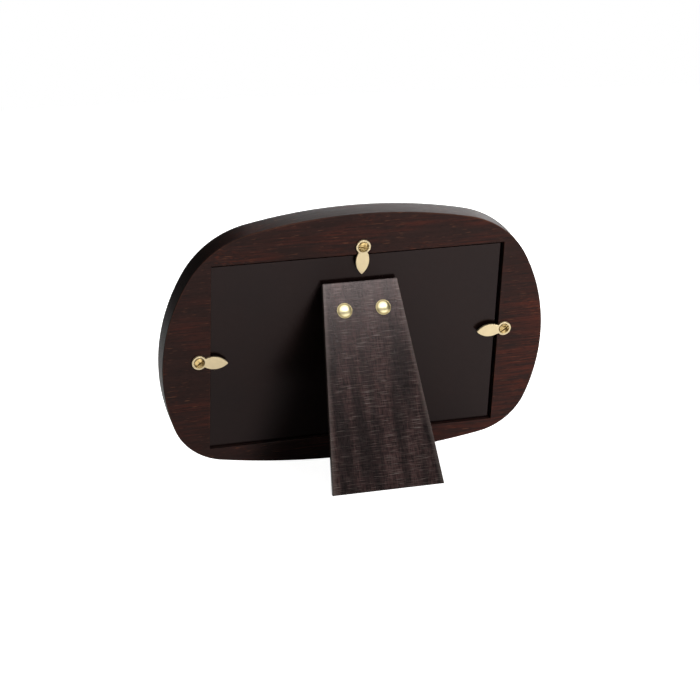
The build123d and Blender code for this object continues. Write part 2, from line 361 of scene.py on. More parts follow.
def swept(add, given, loop, section, first_round, other_round=None):
    """Skin of a drawn section carried round a drawn loop, with its corners rounded."""
    loop_curve, section_curve = (
        add("GeometryNodeMeshToCurve", {"Mesh": given["Drawing"], "Selection": on_line(add, number)})
        for number in (loop, section))
    corner = add("GeometryNodeInputIndex")
    is_first = add("FunctionNodeCompare", {"A": corner, "B": 1}, operation="EQUAL")
    radius = add(
        "GeometryNodeSwitch",
        {"Switch": is_first, "False": other_round or first_round, "True": first_round},
        input_type="FLOAT")
    rounded = add(
        "GeometryNodeFilletCurve",
        {"Curve": section_curve, "Count": given["Round steps"], "Radius": radius, "Limit Radius": True},
        mode="POLY")
    # The first corner's own points, one more than its steps, mark the faces that ease an edge
    on_ease = add(
        "FunctionNodeCompare", {"A": corner, "B": given["Round steps"]}, operation="LESS_EQUAL")
    past_end = add("FunctionNodeCompare", {"A": corner, "B": 0}, operation="GREATER_THAN")
    is_eased = add("FunctionNodeBooleanMath", {"Boolean": on_ease, "Boolean_001": past_end})
    marked = add(
        "GeometryNodeStoreNamedAttribute", {"Geometry": rounded, "Name": "on_ease", "Value": is_eased})
    # A sweep hangs its section upside down from the loop
    upright = add("GeometryNodeTransform", {"Geometry": marked, "Scale": (1.0, -1.0, 1.0)})
    skin = add("GeometryNodeCurveToMesh", {"Curve": loop_curve, "Profile Curve": upright})
    mark = add("GeometryNodeInputNamedAttribute", {"Name": "on_ease"})
    whole_face = add("FunctionNodeCompare", {"A": mark, "B": 0.9}, operation="GREATER_THAN")
    eased = add(
        "GeometryNodeStoreNamedAttribute", {"Geometry": skin, "Name": "eased", "Value": whole_face},
        domain="FACE")
    return add("GeometryNodeSetShadeSmooth", {"Geometry": eased})


def capped(add, skins, levels):
    """Joins swept skins and fills the rings that stay open on each level."""
    skin = add("GeometryNodeJoinGeometry", {"Geometry": skins})
    neighbours = add("GeometryNodeInputMeshEdgeNeighbors")
    is_open = add("FunctionNodeCompare", {"A": neighbours, "B": 1}, operation="EQUAL")
    position = add("GeometryNodeInputPosition")
    height = add("ShaderNodeSeparateXYZ", {"Vector": position}, "Z")
    parts = [skin]
    for level in levels:
        on_level = add(
            "FunctionNodeCompare", {"A": height, "B": level, "Epsilon": level_tolerance},
            operation="EQUAL")
        chosen = add("FunctionNodeBooleanMath", {"Boolean": is_open, "Boolean_001": on_level})
        rings = add("GeometryNodeMeshToCurve", {"Mesh": skin, "Selection": chosen})
        flat = add("GeometryNodeFillCurve", {"Curve": rings})
        lift = add("ShaderNodeCombineXYZ", {"Z": level})
        parts.append(add("GeometryNodeTransform", {"Geometry": flat, "Translation": lift}))
    return add("GeometryNodeJoinGeometry", {"Geometry": parts})


def closed(add, skin):
    """Welds a skin, and keeps every edge sharp that turns by more than a rounded one does."""
    welded = add("GeometryNodeMergeByDistance", {"Geometry": skin, "Distance": weld_distance})
    angle = add("GeometryNodeInputMeshEdgeAngle")
    is_sharp = add("FunctionNodeCompare", {"A": angle, "B": sharp_turn}, operation="GREATER_THAN")
    return add(
        "GeometryNodeSetShadeSmooth",
        {"Geometry": welded, "Selection": is_sharp, "Shade Smooth": False}, domain="EDGE")


def finish_tree(add, piece, material):
    """Ends a tree with plain geometry in one material."""
    plain = add("GeometryNodeRealizeInstances", {"Geometry": piece})
    dressed = add("GeometryNodeSetMaterial", {"Geometry": plain, "Material": material})
    add("NodeGroupOutput", {"Piece": dressed})


def moulding_tree():
    """Tree that carries three sections round the outer oval, the sight oval and the rebate."""
    tree, add, given = new_tree(
        "moulding", "Depth", "Rebate depth", "Back ease", "Front roundover", "Sight roundover",
        "Rebate ease")
    skins = [
        swept(add, given, 0, 1, given["Back ease"], given["Front roundover"]),
        swept(add, given, 2, 3, given["Sight roundover"]),
        swept(add, given, 4, 5, given["Rebate ease"])]
    ledge, front = (
        add("ShaderNodeMath", {"Value": given[label], "Value_001": -1.0}, operation="MULTIPLY")
        for label in ("Rebate depth", "Depth"))
    body = closed(add, capped(add, skins, [0.0, ledge, front]))
    # End grain faces along the frame's width, whose darkening also serves as painted shade on the side
    # bands
    facing = add("ShaderNodeSeparateXYZ", {"Vector": add("GeometryNodeInputNormal")}, "X")
    end_grain = add("ShaderNodeMath", {"Value": facing}, operation="ABSOLUTE")
    marked = add(
        "GeometryNodeStoreNamedAttribute", {"Geometry": body, "Name": "end_grain", "Value": end_grain})
    finish_tree(add, marked, given["Material"])
    return tree


def button_tree():
    """Tree that carries a tumbled edge round a leaf and sinks the seat of a screw into it."""
    tree, add, given = new_tree("turn_button", "Thickness", "Edge round", "Seat round")
    rim = swept(add, given, 0, 1, given["Edge round"])
    seat = swept(add, given, 2, 3, given["Seat round"])
    body = closed(add, capped(add, [rim, seat], [0.0, given["Thickness"]]))
    finish_tree(add, body, given["Material"])
    return tree


def fastener_tree():
    """Tree that turns a half section, slots its head and sets one on each loose point."""
    tree, add, given = new_tree(
        "turned_fasteners", "Edge round", "Slot width", "Slot depth", "Head top", "Slot length")
    body = closed(add, swept(add, given, 0, 1, given["Edge round"]))
    # The cutter is twice as tall as the slot is deep, so that it stands out of the head
    height = add(
        "ShaderNodeMath", {"Value": given["Slot depth"], "Value_001": 2.0}, operation="MULTIPLY")
    size = add(
        "ShaderNodeCombineXYZ", {"X": given["Slot length"], "Y": given["Slot width"], "Z": height})
    lift = add("ShaderNodeCombineXYZ", {"Z": given["Head top"]})
    block = add("GeometryNodeMeshCube", {"Size": size})
    cutter = add("GeometryNodeTransform", {"Geometry": block, "Translation": lift})
    cut = add(
        "GeometryNodeMeshBoolean", {"Mesh 1": body, "Mesh 2": [cutter]}, operation="DIFFERENCE",
        solver="EXACT")
    is_slotted = add(
        "FunctionNodeCompare", {"A": given["Slot depth"], "B": 0.0}, operation="GREATER_THAN")
    head = add(
        "GeometryNodeSwitch", {"Switch": is_slotted, "False": body, "True": cut}, input_type="GEOMETRY")
    # The distance from the axis lets a material paint shade round a head
    position = add("GeometryNodeInputPosition")
    sideways = add(
        "ShaderNodeVectorMath", {"Vector": position, "Vector_001": (1.0, 1.0, 0.0)},
        operation="MULTIPLY")
    from_axis = add("ShaderNodeVectorMath", {"Vector": sideways}, "Value", operation="LENGTH")
    measured = add(
        "GeometryNodeStoreNamedAttribute", {"Geometry": head, "Name": "from_axis", "Value": from_axis})
    turn = add("GeometryNodeInputNamedAttribute", {"Name": "turn"})
    facing = add("ShaderNodeCombineXYZ", {"Z": turn})
    spread = add(
        "GeometryNodeInstanceOnPoints",
        {"Points": given["Drawing"], "Selection": on_line(add, 2), "Instance": measured,
         "Rotation": facing})
    finish_tree(add, spread, given["Material"])
    return tree


def write_closed(work, mesh):
    """Writes an edited shape back to its mesh, and fails if it is open."""
    if not work.faces or any(not edge.is_manifold for edge in work.edges):
        raise RuntimeError(mesh.name + " is not a closed shape")
    work.to_mesh(mesh)
    work.free()


def made(drawing, tree, sizes, material, place):
    """Turns a drawing into the closed mesh that a tree makes of it, in its place."""
    modifier = drawing.modifiers.new("shape", "NODES")
    modifier.node_group = tree
    values = {**sizes, "Material": material}
    for item in tree.interface.items_tree:
        if item.in_out == "INPUT" and item.name in values:
            modifier[item.identifier] = values[item.name]
    depsgraph = bpy.context.evaluated_depsgraph_get()
    mesh = bpy.data.meshes.new_from_object(
        drawing.evaluated_get(depsgraph), preserve_all_data_layers=True, depsgraph=depsgraph)
    drawing.modifiers.remove(modifier)
    lines = drawing.data
    drawing.data = mesh
    bpy.data.meshes.remove(lines)
    mesh.name = drawing.name
    work = bmesh.new()
    work.from_mesh(mesh)
    bmesh.ops.recalc_face_normals(work, faces=work.faces)
    write_closed(work, mesh)
    mesh.transform(place)
    return drawing


def dress(mesh, material):
    """Gives a mesh one material."""
    mesh.materials.clear()
    mesh.materials.append(material)


def eased_copy(name, node, material, ease, thickness, inset=0.0):
    """Copy of a flat CAD piece with its sharp edges eased, drawn in by an inset."""
    mesh = frame["nodes"][node].data.copy()
    mesh.name = name
    work = bmesh.new()
    work.from_mesh(mesh)
    bmesh.ops.remove_doubles(work, verts=work.verts, dist=weld_distance)
    # Edges that are shorter than the piece is thick belong to the rims of its holes
    shortest = thickness - level_tolerance
    long_edges = [
        edge for edge in work.edges
        if edge.calc_length() > shortest and edge.calc_face_angle(0.0) > sharp_turn]
    bmesh.ops.bevel(
        work, geom=long_edges, offset=ease, segments=3, profile=0.5,
        affect="EDGES", clamp_overlap=True)
    for vertex in work.verts:
        vertex.co -= vertex.normal * inset
    for face in work.faces:
        face.smooth = False
    write_closed(work, mesh)
    if "custom_normal" in mesh.attributes:
        mesh.attributes.remove(mesh.attributes["custom_normal"])
    dress(mesh, material)
    return new_object(name, mesh)


def finish_nodes(material, *nodes):
    """Puts one material on CAD nodes that keep their own shape."""
    for name in nodes:
        dress(frame["nodes"][name].data, material)


def stands_for(piece, body, slot, *nodes):
    """Lets a piece ride on a body in the place of CAD nodes."""
    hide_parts(*nodes)
    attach(piece, body)


def new_material(name):
    """Empty material, and the function that adds nodes to it."""
    material = bpy.data.materials.new(name)
    material.use_nodes = True
    material.node_tree.nodes.clear()
    return material, partial(add_node, material.node_tree)


def speckle(add, size, detail):
    """Noise that is fixed to a piece, with the size of one mark."""
    place = add("ShaderNodeTexCoord", output="Object")
    return add("ShaderNodeTexNoise", {"Vector": place, "Scale": 1 / size, "Detail": detail})


def drawn_out(add, origin, turn, settings, along, across, detail, shift):
    """Noise that lies turned with a board, with the size of one mark along X and across it."""
    place = add("ShaderNodeTexCoord", output="Object")
    marks = add(
        "ShaderNodeMapping",
        {"Vector": place, "Location": origin + Vector(shift), "Rotation": turn,
         "Scale": (along, across, across)},
        vector_type="TEXTURE")
    return add("ShaderNodeTexNoise", {"Vector": marks, "Scale": 1.0, "Detail": detail, **settings})


def toned(add, colour, marks, darkest, lightest, first=0.3, last=0.7):
    """Darkens and lightens a colour as marks go from a first value to a last one."""
    tone = add(
        "ShaderNodeMapRange",
        {"Value": marks, "From Min": first, "From Max": last, "To Min": darkest, "To Max": lightest})
    return add("ShaderNodeVectorMath", {"Vector": colour, "Scale": tone}, operation="SCALE")


def laid_over(add, under, over, marks, first, last, most=1.0, within=None):
    """Lays a colour over another as marks go from a first value to a last one, within a share."""
    share = add(
        "ShaderNodeMapRange", {"Value": marks, "From Min": first, "From Max": last, "To Max": most})
    if within is not None:
        share = add("ShaderNodeMath", {"Value": share, "Value_001": within}, operation="MULTIPLY")
    colour = add(
        "ShaderNodeMix", {"Factor_Float": share, "A_Color": under, "B_Color": over}, "Result_Color",
        data_type="RGBA")
    return colour, share


def surface(material, inputs, marks=None, gloss=None, first=0.3, last=0.7):
    """Ends a material with one surface shader, whose roughness may follow some marks."""
    add = partial(add_node, material.node_tree)
    if marks is not None:
        inputs["Roughness"] = add(
            "ShaderNodeMapRange",
            {"Value": marks, "From Min": first, "From Max": last, "To Min": gloss[0],
             "To Max": gloss[1]})
    add("ShaderNodeOutputMaterial", {"Surface": add("ShaderNodeBsdfPrincipled", inputs)})
    return material


def stained_hardwood(colours):
    """Close-grained hardwood, sanded, stained almost black-brown and lacquered satin."""
    # Stain sits dark in the pores and thin on hard grain, where red heartwood glows through.
    # Fibres and pores are drawn about twice as coarse as real ones, so that they show.
    material, add = new_material("stained_hardwood_satin_lacquer")
    grain = partial(
        drawn_out, add, rebate_centre, back_turn, {"Roughness": 0.55, "Distortion": 0.15})
    streaks = grain(70 * mm, 4.0 * mm, 3, (0, 0, 0))
    patches = grain(40 * mm, 13.0 * mm, 1, (0.3, 0.1, 0.2))
    fibres = grain(20 * mm, 0.9 * mm, 3, (0.1, 0.2, 0.4))
    pores = grain(4 * mm, 0.6 * mm, 1, (0.5, 0.4, 0.1))
    dashes = grain(7 * mm, 0.7 * mm, 1, (0.2, 0.6, 0.3))
    spots = grain(3 * mm, 1.0 * mm, 2, (0.7, 0.2, 0.5))
    worn = grain(34 * mm, 20 * mm, 1, (0.6, 0.9, 0.1))
    streaked = toned(add, colours.stain[:3], streaks, 0.75, 1.25)
    # Stain is thin in patches, and the wood is also redder towards one low corner of the frame
    place = add("ShaderNodeTexCoord", output="Object")
    corner = add(
        "ShaderNodeVectorMath", {"Vector": place, "Vector_001": (-0.8, 0.0, -0.6)}, "Value",
        operation="DOT_PRODUCT")
    corner_share = add(
        "ShaderNodeMapRange", {"Value": corner, "From Min": 0.0, "From Max": 60 * mm, "To Max": 0.6})
    patch_share = add(
        "ShaderNodeMapRange", {"Value": patches, "From Min": 0.48, "From Max": 0.74, "To Max": 0.7})
    redder_share = add(
        "ShaderNodeMath", {"Value": patch_share, "Value_001": corner_share}, operation="ADD")
    reddened, _ = laid_over(add, streaked, colours.heartwood, fibres, 0.38, 0.68, within=redder_share)
    fibrous = toned(add, reddened, fibres, 0.86, 1.14)
    pored, pore_share = laid_over(add, fibrous, "#0d0706", pores, 0.58, 0.70, 0.45)
    dashed, _ = laid_over(add, pored, "#7a4f3b", dashes, 0.64, 0.76, 0.4)
    # Small worn spots gather in a few places and let bright red wood through
    worn_share = add(
        "ShaderNodeMapRange", {"Value": worn, "From Min": 0.55, "From Max": 0.75, "To Max": 0.6})
    bared, _ = laid_over(add, dashed, "#6b3220", spots, 0.52, 0.70, within=worn_share)
    # Handling thins the lacquer and the stain along the eased edges
    edge = add("ShaderNodeAttribute", output="Fac", attribute_name="eased")
    rubbed, _ = laid_over(add, bared, "#6f4633", patches, 0.35, 0.7, 0.3, within=edge)
    # End grain drinks more stain and goes almost black, and this darkening of the sideways faces is
    # also painted shade on the side bands
    end_grain = add("ShaderNodeAttribute", output="Fac", attribute_name="end_grain")
    soaked_and_shaded, _ = laid_over(add, rubbed, "#0d0a0a", end_grain, 0.2, 0.8, 0.75)
    relief = add("ShaderNodeMath", {"Value": fibres, "Value_001": pore_share}, operation="SUBTRACT")
    bump = add("ShaderNodeBump", {"Height": relief, "Strength": 0.2, "Distance": 0.15 * mm})
    return surface(
        material, {"Base Color": soaked_and_shaded, "IOR": 1.5, "Specular IOR Level": 0.10, "Normal": bump},
        fibres, (0.36, 0.48))


def sealed_fibreboard(colours):
    """Thin fibreboard with a smooth dark sealed face."""
    # The sealer leaves soft clouds of tone and a faint speckle of fibres under a dull sheen
    material, add = new_material("fibreboard_sealed_dark")
    clouds = speckle(add, 30 * mm, 3.0)
    fibres = speckle(add, 0.9 * mm, 2.0)
    clouded, _ = laid_over(add, "#0a0505", colours.board, clouds, 0.35, 0.65)
    speckled = toned(add, clouded, fibres, 0.85, 1.15)
    bump = add("ShaderNodeBump", {"Height": fibres, "Strength": 0.05, "Distance": 0.1 * mm})
    return surface(
        material,
        {"Base Color": speckled, "IOR": 1.48, "Specular IOR Level": 0.21,
         "Specular Tint": (1.0, 0.78, 0.76, 1.0), "Normal": bump},
        clouds, (0.20, 0.26))


def linen_paper(colours):
    """Bookbinder's linen-textured paper in dark brown, glued over fibreboard."""
    # Raised weft slubs are rubbed pale, and the dye lies in darker smudges along the warp.
    # Threads are drawn about twice as coarse as real ones, so that the weave shows.
    material, add = new_material("linen_paper_dark_brown")
    threads = partial(drawn_out, add, hinge_place, leg_turn, {"Roughness": 0.5})
    smudges = threads(8 * mm, 60 * mm, 2, (0, 0, 0))
    weft = threads(14 * mm, 0.30 * mm, 2, (0.1, 0.2, 0.3))
    warp = threads(0.5 * mm, 4 * mm, 1, (0.3, 0.1, 0.2))
    slubs = threads(8 * mm, 0.24 * mm, 1, (0.4, 0.3, 0.1))
    ground, clean_share = laid_over(add, "#150e0e", colours.linen, smudges, 0.42, 0.60)
    weave = add("ShaderNodeMath", {"Value": weft, "Value_001": warp}, operation="ADD")
    woven = toned(add, ground, weave, 0.2, 1.8, 0.75, 1.25)
    slub_depth = add("ShaderNodeMapRange", {"Value": clean_share, "To Min": 0.35, "To Max": 1.0})
    rubbed, _ = laid_over(add, woven, colours.slub, slubs, 0.58, 0.73, 0.8, within=slub_depth)
    # Both sloping edges of the leg are painted paler, a painted highlight where the paper folds round
    # the board's edge
    place = add("ShaderNodeTexCoord", output="Object")
    flat = add(
        "ShaderNodeMapping", {"Vector": place, "Location": hinge_place, "Rotation": leg_turn},
        vector_type="TEXTURE")
    axes = add("ShaderNodeSeparateXYZ", {"Vector": flat}).node.outputs
    half_width = add(
        "ShaderNodeMath", {"Value": axes["Z"], "Value_001": -leg_flare, "Value_002": leg_half_width},
        operation="MULTIPLY_ADD")
    across = add("ShaderNodeMath", {"Value": axes["X"]}, operation="ABSOLUTE")
    inset = add("ShaderNodeMath", {"Value": half_width, "Value_001": across}, operation="SUBTRACT")
    edge_highlighted, _ = laid_over(add, rubbed, colours.slub, inset, 2.5 * mm, 0.5 * mm, 0.26)
    bump = add("ShaderNodeBump", {"Height": weave, "Strength": 0.1, "Distance": 0.1 * mm})
    return surface(
        material,
        {"Base Color": edge_highlighted, "Roughness": 0.15, "IOR": 1.45, "Specular IOR Level": 0.25,
         "Specular Tint": (1.0, 0.84, 0.82, 1.0), "Normal": bump})


def satin_brass(colours):
    """Pale brass sheet, stamped and tumbled to a satin face."""
    # Tumbling leaves an even fine haze, so the plate reflects softly with faint cloudiness
    material, add = new_material("brass_stamped_satin")
    haze = speckle(add, 3 * mm, 3.0)
    grit = speckle(add, 0.5 * mm, 1.0)
    hazed = toned(add, colours.brass[:3], haze, 0.93, 1.03)
    bump = add("ShaderNodeBump", {"Height": grit, "Strength": 0.1, "Distance": 0.05 * mm})
    return surface(material, {"Base Color": hazed, "Metallic": 1.0, "Normal": bump}, haze, (0.38, 0.50))


def polished_brass(colours):
    """Brass rivets, headed and polished bright."""
    # A polished dome mirrors the soft lights, with light handling haze
    material, add = new_material("brass_polished")
    haze = speckle(add, 2 * mm, 3.0)
    hazed = toned(add, colours.rivet_brass[:3], haze, 0.90, 1.03)
    # Painted shade: the crease round the dome is painted dark
    from_axis = add("ShaderNodeAttribute", output="Fac", attribute_name="from_axis")
    beside = add(
        "ShaderNodeMath", {"Value": from_axis, "Value_001": rivet_crease}, operation="SUBTRACT")
    from_crease = add("ShaderNodeMath", {"Value": beside}, operation="ABSOLUTE")
    crease_shaded, _ = laid_over(add, hazed, "#6b5a2c", from_crease, 1.0 * mm, 0.1 * mm, 0.8)
    return surface(material, {"Base Color": crease_shaded, "Metallic": 1.0}, haze, (0.28, 0.36))


def aged_brass(colours):
    """Turned brass screws, dulled by handling."""
    # Tarnish darkens the metal in patches and takes the edge off its gloss
    material, add = new_material("brass_turned_aged")
    tarnish = speckle(add, 1.8 * mm, 4.0)
    tone, bright_share = laid_over(add, "#4a3718", colours.screw_brass, tarnish, 0.38, 0.62)
    return surface(
        material, {"Base Color": tone, "Metallic": 1.0}, bright_share, (0.45, 0.28), 0.0, 1.0)


def bronzed_steel():
    """Rolled steel hinge, chemically bronzed."""
    # The bronzing is near black, with brown rub where the strip is handled
    material, add = new_material("steel_bronzed")
    rub = speckle(add, 3 * mm, 4.0)
    tone, rub_share = laid_over(add, "#2b2622", "#5c4a38", rub, 0.4, 0.7)
    return surface(material, {"Base Color": tone, "Metallic": 1.0}, rub_share, (0.5, 0.36), 0.0, 1.0)


def float_glass():
    """Clear float glass."""
    # The pane mirrors cleanly, with the faintest waver of the float
    material, add = new_material("glass_float_clear")
    ripple = speckle(add, 60 * mm, 2.0)
    bump = add("ShaderNodeBump", {"Height": ripple, "Strength": 0.02, "Distance": 0.2 * mm})
    return surface(
        material,
        {"Base Color": "#fcfefd", "Roughness": 0.02, "IOR": 1.52, "Transmission Weight": 1.0,
         "Normal": bump})


def blank_card():
    """Uncoated white card."""
    # Pulp fibres give the card a faint warm mottle
    material, add = new_material("card_uncoated_white")
    pulp = speckle(add, 1.2 * mm, 4.0)
    tone, _ = laid_over(add, "#e9e5db", "#f6f3ec", pulp, 0.0, 1.0)
    return surface(material, {"Base Color": tone, "Roughness": 0.8})


class OVALFRAME_OT_moulding(bpy.types.Operator):
    """Makes the oval wooden moulding"""

    bl_idname = "oval_frame.moulding"
    bl_label = "Moulding"

    def execute(self, context):
        sizes = context.scene.oval_sizes
        depth = sizes.frame_depth
        half_width = rebate_width / 2
        half_height = rebate_height / 2
        outside = oval_outline(
            half_width + side_border, half_height + top_border, half_height + bottom_border,
            -widest_drop, **outside_arcs)
        sight = oval_outline(
            half_width - sight_lap_side, half_height - sight_lap_top,
            half_height - sight_lap_bottom, (sight_lap_bottom - sight_lap_top) / 2, **sight_arcs)
        rebate = [
            (-half_width, -half_height), (half_width, -half_height),
            (half_width, half_height), (-half_width, half_height)]
        outside_section = [
            (-sizes.back_ease - flat_strip, 0), (0, 0), (0, -depth),
            (-sizes.front_roundover - flat_strip, -depth)]
        sight_section = [
            (0, -rebate_depth), (0, -depth), (sizes.sight_roundover + flat_strip, -depth)]
        rebate_section = [(sizes.rebate_ease + flat_strip, 0), (0, 0), (0, -rebate_depth)]
        drawing = drawn(
            "moulding", (outside, "ring"), (outside_section, "open"), (sight, "ring"),
            (sight_section, "open"), (rebate, "ring"), (rebate_section, "open"))
        piece = made(
            drawing, moulding_tree(),
            {"Depth": depth, "Rebate depth": rebate_depth, "Back ease": sizes.back_ease,
             "Front roundover": sizes.front_roundover, "Sight roundover": sizes.sight_roundover,
             "Rebate ease": sizes.rebate_ease, "Round steps": 12},
            stained_hardwood(context.scene.oval_colours), back_plane)
        stands_for(piece, "frame", "stained_wood", "wood_frame")
        return {"FINISHED"}


class OVALFRAME_OT_rebate(bpy.types.Operator):
    """Finishes the glass, the blank card and the backing board"""

    bl_idname = "oval_frame.rebate"
    bl_label = "Glass, card and board"

    def execute(self, context):
        scene = context.scene
        # The pane is drawn in by a hair, so that its back and the card's face don't share a plane
        pane = eased_copy("pane", "glass_pane", float_glass(), pane_ease, pane_thickness, pane_inset)
        stands_for(pane, "frame", "clear_glass", "glass_pane")
        finish_nodes(blank_card(), "photo_card")
        board = eased_copy(
            "board", "backing_board", sealed_fibreboard(scene.oval_colours),
            scene.oval_sizes.board_ease, board_thickness)
        stands_for(board, "frame", "dark_board", "backing_board")
        return {"FINISHED"}


class OVALFRAME_OT_leg(bpy.types.Operator):
    """Finishes the easel leg and its hinge"""

    bl_idname = "oval_frame.leg"
    bl_label = "Easel leg"

    def execute(self, context):
        scene = context.scene
        leg = eased_copy(
            "leg_board", "easel_leg", linen_paper(scene.oval_colours),
            scene.oval_sizes.leg_ease, leg_rear - leg_underside)
        stands_for(leg, "leg", "dark_linen_board", "easel_leg")
        finish_nodes(bronzed_steel(), "hinge_board_leaf", "hinge_leg_leaf", "hinge_pin")
        return {"FINISHED"}


class OVALFRAME_OT_rivets(bpy.types.Operator):
    """Makes the domed rivets of the leg and the low rivets of the board"""

    bl_idname = "oval_frame.rivets"
    bl_label = "Rivets"

    def execute(self, context):
        scene = context.scene
        brass = polished_brass(scene.oval_colours)
        tree = fastener_tree()
        # Rivets have no slot, so its sizes stay at nothing
        sizes = {"Edge round": rivet_edge, "Round steps": 4}
        tail_top = leg_underside - leaf_thickness
        tail_foot = tail_top - rivet_tail_height
        rim_top = leg_rear + rivet_rim_height
        leg_section = [
            (0, tail_foot), (rivet_tail, tail_foot), (rivet_tail, tail_top),
            (rivet_shank, tail_top), (rivet_shank, leg_rear), (rivet_rim, leg_rear),
            (rivet_rim, rim_top),
            *dome_section(rivet_dome_radius, rim_top, scene.oval_sizes.rivet_dome, count=12)]
        pair = [(-rivet_spacing / 2, -rivet_drop), (rivet_spacing / 2, -rivet_drop)]
        drawing = drawn("leg_rivets", *turned_lines(leg_section, segments=48), (pair, "loose"))
        piece = made(drawing, tree, sizes, brass, leg_plane)
        stands_for(piece, "leg", "polished_brass", "leg_rivet_left", "leg_rivet_right")

        hinge_rise = (back_plane.inverted() @ hinge_place).y
        foot = -board_recess - board_thickness
        seat = leaf_thickness - board_recess
        head_top = seat + rivet_tail_height
        board_section = [
            (0, foot), (rivet_shank, foot), (rivet_shank, seat), (rivet_tail, seat),
            (rivet_tail, head_top), (0, head_top)]
        pair = [(x, y + hinge_rise) for x, y in pair]
        drawing = drawn("board_rivets", *turned_lines(board_section, segments=32), (pair, "loose"))
        piece = made(drawing, tree, sizes, brass, back_plane)
        stands_for(piece, "frame", "polished_brass", "board_rivet_left", "board_rivet_right")
        return {"FINISHED"}


def screw_place(side):
    """Place of a turn button's screw on the back, as drawn."""
    joint = joints["button_" + side + "_turn"]
    return (back_plane.inverted() @ Vector(joint["pos_m"])).xy


class OVALFRAME_OT_buttons(bpy.types.Operator):
    """Makes the leaf-shaped turn buttons"""

    bl_idname = "oval_frame.buttons"
    bl_label = "Turn buttons"

    def execute(self, context):
        scene = context.scene
        brass = satin_brass(scene.oval_colours)
        tree = button_tree()
        edge = scene.oval_sizes.button_edge
        sizes = {
            "Thickness": button_thickness, "Edge round": edge, "Seat round": seat_edge,
            "Round steps": 4}
        bore = button_bore - seat_radius
        rim_section = [(0, 0), (0, button_thickness), (-edge - narrow_strip, button_thickness)]
        seat = arc_points(axis_point, seat_radius, 0, 2 * math.pi, count=48)
        seat_section = [
            (bore, 0), (bore, seat_floor), (0, seat_floor), (0, button_thickness),
            (narrow_strip, button_thickness)]
        for side, (tip, _) in button_turns.items():
            drawing = drawn(
                "leaf_button_" + side, (leaf_outline(), "ring"), (rim_section, "open"),
                (seat, "ring"), (seat_section, "open"))
            place = back_plane @ Matrix.Translation((*screw_place(side), button_lift))
            place = place @ Matrix.Rotation(math.radians(tip), 4, "Z")
            piece = made(drawing, tree, sizes, brass, place)
            stands_for(piece, "button_" + side, "satin_brass", "turn_button_" + side)
        return {"FINISHED"}


class OVALFRAME_OT_screws(bpy.types.Operator):
    """Makes the slotted screws of the turn buttons"""

    bl_idname = "oval_frame.screws"
    bl_label = "Screws"

    def execute(self, context):
        scene = context.scene
        head_edge = screw_seat + screw_head_height
        section = [
            (0, -screw_grip), (screw_point, -screw_grip), (screw_shank, screw_taper - screw_grip),
            (screw_shank, screw_seat), (screw_head, screw_seat),
            *dome_section(screw_head, head_edge, screw_crown, count=8)]
        screws = [screw_place(side) for side in button_turns]
        turns = [math.radians(slot) for _, slot in button_turns.values()]
        lines = turned_lines(section, segments=40)
        drawing = drawn("turn_screws", *lines, (screws, "loose"), turns=turns)
        piece = made(
            drawing, fastener_tree(),
            {"Edge round": screw_edge, "Round steps": 3, "Head top": head_edge + screw_crown,
             "Slot width": scene.oval_sizes.slot_width, "Slot depth": slot_depth,
             "Slot length": slot_length},
            aged_brass(scene.oval_colours), back_plane)
        stands_for(
            piece, "frame", "aged_brass", "turn_screw_top", "turn_screw_left",
            "turn_screw_right")
        return {"FINISHED"}


# Stage: the camera as it stood for the photograph, and the white room round the frame
camera_lens = 103.0
camera_distance = 1.045035
camera_azimuth, camera_elevation, camera_roll = (
    math.radians(angle) for angle in (15.582, 12.883, -2.076))
camera_aim = rebate_centre + Vector((3.578, -0.532, -1.963)) * mm
light_aim = (0, 0, 0.07)
floor_radius = 2.0
floor_lift = 0.1 * mm
backdrop_radius = 9.2
panel_place = Vector((-0.30, 1.22, 1.06))
panel_size = (2.4, 2.2)
white = (1.0, 1.0, 1.0, 1.0)
white_paint = {"Base Color": "#f2f2f0", "Roughness": 0.9, "Emission Color": white}


def place_camera(scene):
    """Adds the camera where the photograph was taken from."""
    camera = bpy.data.cameras.new("camera")
    camera.lens = camera_lens
    viewer = new_object("camera", camera)
    outward = Euler((camera_elevation, 0, -camera_azimuth)).to_matrix() @ Vector((0, 1, 0))
    viewer.location = camera_aim + outward * camera_distance
    looking = (-outward).to_track_quat("-Z", "Y").to_matrix().to_4x4()
    viewer.rotation_euler = (looking @ Matrix.Rotation(camera_roll, 4, "Z")).to_euler()
    scene.camera = viewer


def shaded_floor():
    """White floor whose glow has the leg's shadow painted into it: a wedge that pales past its borders
    and further out.
    """
    material, add = new_material("floor_painted_shade")
    place = add("ShaderNodeTexCoord", output="Object")
    middled = add(
        "ShaderNodeVectorMath", {"Vector": place, "Vector_001": (3.55 * mm, 0.0, 0.0)}, operation="ADD")
    past_left, past_right = (
        add("ShaderNodeVectorMath", {"Vector": middled, "Vector_001": outward}, "Value",
            operation="DOT_PRODUCT")
        for outward in ((1.0, 0.525, 0.0), (-1.0, 0.0, 0.0)))
    past_border = add(
        "ShaderNodeMath", {"Value": past_left, "Value_001": past_right}, operation="MAXIMUM")
    open_share = add(
        "ShaderNodeMapRange",
        {"Value": past_border, "From Min": 29.5 * mm, "From Max": 53.5 * mm, "To Min": 0.01},
        interpolation_type="SMOOTHSTEP")
    away = add("ShaderNodeVectorMath", {"Vector": place}, "Value", operation="LENGTH")
    brightness = add(
        "ShaderNodeMapRange",
        {"Value": away, "From Min": 30 * mm, "From Max": 180 * mm, "To Min": 0.62, "To Max": 0.97},
        interpolation_type="SMOOTHSTEP")
    glow = add("ShaderNodeMath", {"Value": open_share, "Value_001": brightness}, operation="MULTIPLY")
    return surface(material, {**white_paint, "Emission Strength": glow})


def white_floor():
    """White floor, lit evenly."""
    material, _ = new_material("floor_white")
    return surface(material, {**white_paint, "Emission Strength": 0.93})


